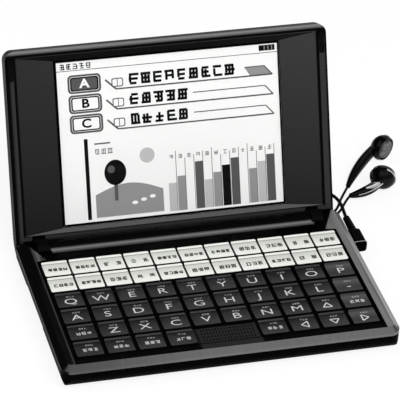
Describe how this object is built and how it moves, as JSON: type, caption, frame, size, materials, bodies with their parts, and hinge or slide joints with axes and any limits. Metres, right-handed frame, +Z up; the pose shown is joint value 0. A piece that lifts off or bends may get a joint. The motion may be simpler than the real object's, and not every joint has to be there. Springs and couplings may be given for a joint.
{
  "type": "electronic dictionary",
  "caption": "Pocket electronic dictionary: hinged lid with a display, keyboard base with a speaker grille, and plug-in earphones on thin cords.",
  "frame": {"origin": "middle of the base's flat underside", "axes": "+X to the user's right along the hinge, +Y back towards the hinge, +Z up"},
  "size_m": [0.1465, 0.1148, 0.0663],
  "materials": {
    "case_plastic": "satin",
    "frame_metal": "brushed",
    "deck_plastic": "gloss",
    "silver_key": "satin",
    "dark_key": "satin",
    "mat_rubber": "matt",
    "circuit_board": "satin",
    "battery_wrap": "satin",
    "speaker_metal": "satin",
    "barrel_plastic": "gloss",
    "pin_steel": "satin",
    "soft_rubber": "matt",
    "screw_steel": "satin",
    "socket_metal": "satin",
    "jack_plastic": "satin",
    "lid_shell": "painted satin",
    "bezel_plastic": "gloss",
    "window_glass": "clear",
    "lcd_glass": "satin",
    "knuckle_metal": "painted satin",
    "plug_plastic": "satin",
    "plug_metal": "polished",
    "cord_rubber": "satin",
    "earbud_plastic": "gloss",
    "mesh_steel": "perforated"
  },
  "bodies": {
    "base": {"bottom_case": "case_plastic", "top_frame": "frame_metal", "key_deck": "deck_plastic", "dome_mat": "mat_rubber", "main_board": "circuit_board", "battery_pack": "battery_wrap", "speaker": "speaker_metal", "hinge_barrel": "barrel_plastic", "hinge_pins": "pin_steel", "rubber_feet": "soft_rubber", "case_screws": "screw_steel", "card_socket": "socket_metal", "usb_socket": "socket_metal", "earphone_jack": "jack_plastic"},
    "door": {"battery_door": "case_plastic"},
    "lid": {"lid_cover": "lid_shell", "lid_bezel": "bezel_plastic", "screen_window": "window_glass", "lcd_panel": "lcd_glass", "lcd_board": "circuit_board", "lid_bumpers": "soft_rubber", "hinge_knuckles": "knuckle_metal", "lid_screws": "screw_steel"},
    "earphones": {"plug_body": "plug_plastic", "plug_pin": "plug_metal", "plug_relief": "cord_rubber", "cord_main": "cord_rubber", "cord_main_coil": "cord_rubber", "y_split": "plug_plastic", "cord_left": "cord_rubber", "cord_left_coil": "cord_rubber", "cord_right": "cord_rubber", "cord_right_coil": "cord_rubber", "earbud_left": "earbud_plastic", "earbud_right": "earbud_plastic", "earbud_grilles": "mesh_steel"},
    "key_row_1": {"key_row_1": "silver_key"},
    "key_row_2": {"key_row_2": "silver_key"},
    "key_row_3": {"key_row_3": "dark_key"},
    "key_row_4": {"key_row_4": "dark_key"},
    "key_5_01": {"key_5_01": "dark_key"},
    "key_5_02": {"key_5_02": "dark_key"},
    "key_5_03": {"key_5_03": "dark_key"},
    "key_5_04": {"key_5_04": "dark_key"},
    "key_5_05": {"key_5_05": "dark_key"},
    "key_5_06": {"key_5_06": "dark_key"},
    "key_5_07": {"key_5_07": "dark_key"},
    "key_5_08": {"key_5_08": "dark_key"},
    "key_5_09": {"key_5_09": "dark_key"},
    "key_5_10": {"key_5_10": "dark_key"},
    "key_6_01": {"key_6_01": "dark_key"},
    "key_6_02": {"key_6_02": "dark_key"},
    "key_6_03": {"key_6_03": "dark_key"},
    "key_6_04": {"key_6_04": "dark_key"},
    "key_6_07": {"key_6_07": "dark_key"},
    "key_6_08": {"key_6_08": "dark_key"},
    "key_6_09": {"key_6_09": "dark_key"},
    "key_6_10": {"key_6_10": "dark_key"}
  },
  "joints": [
    {"name": "lid_hinge", "type": "hinge", "parent": "base", "child": "lid", "pos_m": [0, 0.03205, 0.006], "axis": [-1, 0, 0], "range_deg": [-113.2, 6.8]},
    {"name": "door_slide", "type": "slide", "parent": "base", "child": "door", "axis": [0, -1, 0], "range_m": [0, 0.006]},
    {"name": "earphone_unplug", "type": "slide", "parent": "base", "child": "earphones", "axis": [1, 0, 0], "range_m": [0, 0.015]},
    {"name": "key_row_1_press", "type": "slide", "parent": "base", "child": "key_row_1", "axis": [0, 0, -1], "range_m": [0, 0.0006], "stiffness_N_per_m": 200, "springref_m": -0.0004},
    {"name": "key_row_2_press", "type": "slide", "parent": "base", "child": "key_row_2", "axis": [0, 0, -1], "range_m": [0, 0.0006], "stiffness_N_per_m": 200, "springref_m": -0.0004},
    {"name": "key_row_3_press", "type": "slide", "parent": "base", "child": "key_row_3", "axis": [0, 0, -1], "range_m": [0, 0.0006], "stiffness_N_per_m": 200, "springref_m": -0.0004},
    {"name": "key_row_4_press", "type": "slide", "parent": "base", "child": "key_row_4", "axis": [0, 0, -1], "range_m": [0, 0.0006], "stiffness_N_per_m": 200, "springref_m": -0.0004},
    {"name": "key_5_01_press", "type": "slide", "parent": "base", "child": "key_5_01", "axis": [0, 0, -1], "range_m": [0, 0.0006], "stiffness_N_per_m": 200, "springref_m": -0.0004},
    {"name": "key_5_02_press", "type": "slide", "parent": "base", "child": "key_5_02", "axis": [0, 0, -1], "range_m": [0, 0.0006], "stiffness_N_per_m": 200, "springref_m": -0.0004},
    {"name": "key_5_03_press", "type": "slide", "parent": "base", "child": "key_5_03", "axis": [0, 0, -1], "range_m": [0, 0.0006], "stiffness_N_per_m": 200, "springref_m": -0.0004},
    {"name": "key_5_04_press", "type": "slide", "parent": "base", "child": "key_5_04", "axis": [0, 0, -1], "range_m": [0, 0.0006], "stiffness_N_per_m": 200, "springref_m": -0.0004},
    {"name": "key_5_05_press", "type": "slide", "parent": "base", "child": "key_5_05", "axis": [0, 0, -1], "range_m": [0, 0.0006], "stiffness_N_per_m": 200, "springref_m": -0.0004},
    {"name": "key_5_06_press", "type": "slide", "parent": "base", "child": "key_5_06", "axis": [0, 0, -1], "range_m": [0, 0.0006], "stiffness_N_per_m": 200, "springref_m": -0.0004},
    {"name": "key_5_07_press", "type": "slide", "parent": "base", "child": "key_5_07", "axis": [0, 0, -1], "range_m": [0, 0.0006], "stiffness_N_per_m": 200, "springref_m": -0.0004},
    {"name": "key_5_08_press", "type": "slide", "parent": "base", "child": "key_5_08", "axis": [0, 0, -1], "range_m": [0, 0.0006], "stiffness_N_per_m": 200, "springref_m": -0.0004},
    {"name": "key_5_09_press", "type": "slide", "parent": "base", "child": "key_5_09", "axis": [0, 0, -1], "range_m": [0, 0.0006], "stiffness_N_per_m": 200, "springref_m": -0.0004},
    {"name": "key_5_10_press", "type": "slide", "parent": "base", "child": "key_5_10", "axis": [0, 0, -1], "range_m": [0, 0.0006], "stiffness_N_per_m": 200, "springref_m": -0.0004},
    {"name": "key_6_01_press", "type": "slide", "parent": "base", "child": "key_6_01", "axis": [0, 0, -1], "range_m": [0, 0.0006], "stiffness_N_per_m": 200, "springref_m": -0.0004},
    {"name": "key_6_02_press", "type": "slide", "parent": "base", "child": "key_6_02", "axis": [0, 0, -1], "range_m": [0, 0.0006], "stiffness_N_per_m": 200, "springref_m": -0.0004},
    {"name": "key_6_03_press", "type": "slide", "parent": "base", "child": "key_6_03", "axis": [0, 0, -1], "range_m": [0, 0.0006], "stiffness_N_per_m": 200, "springref_m": -0.0004},
    {"name": "key_6_04_press", "type": "slide", "parent": "base", "child": "key_6_04", "axis": [0, 0, -1], "range_m": [0, 0.0006], "stiffness_N_per_m": 200, "springref_m": -0.0004},
    {"name": "key_6_07_press", "type": "slide", "parent": "base", "child": "key_6_07", "axis": [0, 0, -1], "range_m": [0, 0.0006], "stiffness_N_per_m": 200, "springref_m": -0.0004},
    {"name": "key_6_08_press", "type": "slide", "parent": "base", "child": "key_6_08", "axis": [0, 0, -1], "range_m": [0, 0.0006], "stiffness_N_per_m": 200, "springref_m": -0.0004},
    {"name": "key_6_09_press", "type": "slide", "parent": "base", "child": "key_6_09", "axis": [0, 0, -1], "range_m": [0, 0.0006], "stiffness_N_per_m": 200, "springref_m": -0.0004},
    {"name": "key_6_10_press", "type": "slide", "parent": "base", "child": "key_6_10", "axis": [0, 0, -1], "range_m": [0, 0.0006], "stiffness_N_per_m": 200, "springref_m": -0.0004}
  ]
}
